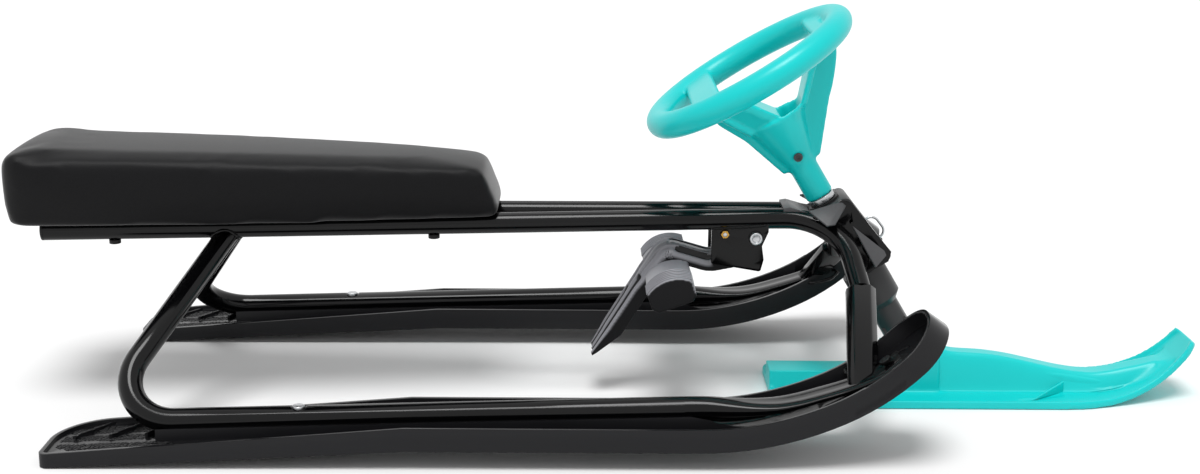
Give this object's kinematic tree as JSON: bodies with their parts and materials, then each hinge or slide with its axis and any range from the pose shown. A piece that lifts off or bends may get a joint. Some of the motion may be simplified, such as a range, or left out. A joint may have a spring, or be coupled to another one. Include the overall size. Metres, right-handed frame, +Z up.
{
  "type": "steering sled",
  "caption": "Steerable snow sled with a padded seat on a bent tube frame, two black runners, a turquoise steering wheel and front ski, and a foot brake",
  "frame": {"origin": "on the ground under the middle of the sled's length and width, the sled standing on its runner heels and front ski", "axes": "+X forward along the direction of travel, +Y to the rider's left, +Z up"},
  "size_m": [1.1428, 0.456, 0.3825],
  "materials": {
    "black_gloss_paint": "black gloss powder coat",
    "charcoal_paint": "charcoal satin coat",
    "black_moulding": "black injection-moulded plastic, glossy",
    "turquoise_moulding": "turquoise injection-moulded plastic, semi-gloss",
    "black_vinyl": "matt black vinyl, fine grain",
    "plywood": "plywood, clear sealed",
    "zinc_steel": "zinc-plated steel",
    "brass": "turned brass",
    "spring_steel": "drawn spring wire",
    "bush_plastic": "black nylon"
  },
  "bodies": {
    "sled_frame": {"top_rail_left": "black_gloss_paint", "top_rail_right": "black_gloss_paint", "rail_tie_plate": "black_gloss_paint", "rail_end_plugs": "black_moulding", "lower_rail_left": "black_gloss_paint", "lower_rail_right": "black_gloss_paint", "front_strut_left": "black_gloss_paint", "front_strut_right": "black_gloss_paint", "runner_left": "black_moulding", "runner_right": "black_moulding", "runner_bolts": "zinc_steel", "runner_nuts": "zinc_steel", "seat_board": "plywood", "seat_cushion": "black_vinyl", "seat_bolts": "zinc_steel", "seat_tee_nuts": "zinc_steel", "head_bracket": "charcoal_paint", "head_gusset_left": "black_gloss_paint", "head_gusset_right": "black_gloss_paint", "column_bush_upper": "bush_plastic", "column_bush_lower": "bush_plastic", "tow_loop": "zinc_steel", "brake_bracket": "black_gloss_paint", "brake_pivot_bolt": "zinc_steel", "brake_pivot_nut": "zinc_steel", "brake_stop_bolt": "zinc_steel", "brake_stop_nut": "brass", "brake_spring": "spring_steel"},
    "steering": {"steering_column": "zinc_steel", "column_ring": "zinc_steel", "steering_wheel": "turquoise_moulding", "wheel_bolt": "zinc_steel", "wheel_nut": "zinc_steel", "ski_knuckle": "charcoal_paint", "knuckle_pin": "zinc_steel"},
    "steering_ski": {"front_ski": "turquoise_moulding", "ski_pivot_bolt": "zinc_steel", "ski_pivot_nut": "zinc_steel"},
    "brake": {"brake_lever": "black_moulding", "lever_bush": "zinc_steel", "foot_peg_left": "black_moulding", "foot_peg_right": "black_moulding", "peg_screws": "zinc_steel"}
  },
  "joints": [
    {"name": "steering_turn", "type": "hinge", "parent": "sled_frame", "child": "steering", "pos_m": [0.21923, 0, 0.15815], "axis": [-0.518, 0, 0.8554], "range_deg": [-28, 28]},
    {"name": "ski_pitch", "type": "hinge", "parent": "steering", "child": "steering_ski", "pos_m": [0.2902, 0, 0.04097], "axis": [0, 1, 0], "range_deg": [-8, 8]},
    {"name": "brake_press", "type": "hinge", "parent": "sled_frame", "child": "brake", "pos_m": [0.1318, 0, 0.16], "axis": [0, -1, 0], "range_deg": [0, 12], "stiffness_Nm_per_rad": 1.2, "springref_deg": -20.05, "deforming": ["brake_spring"]}
  ]
}
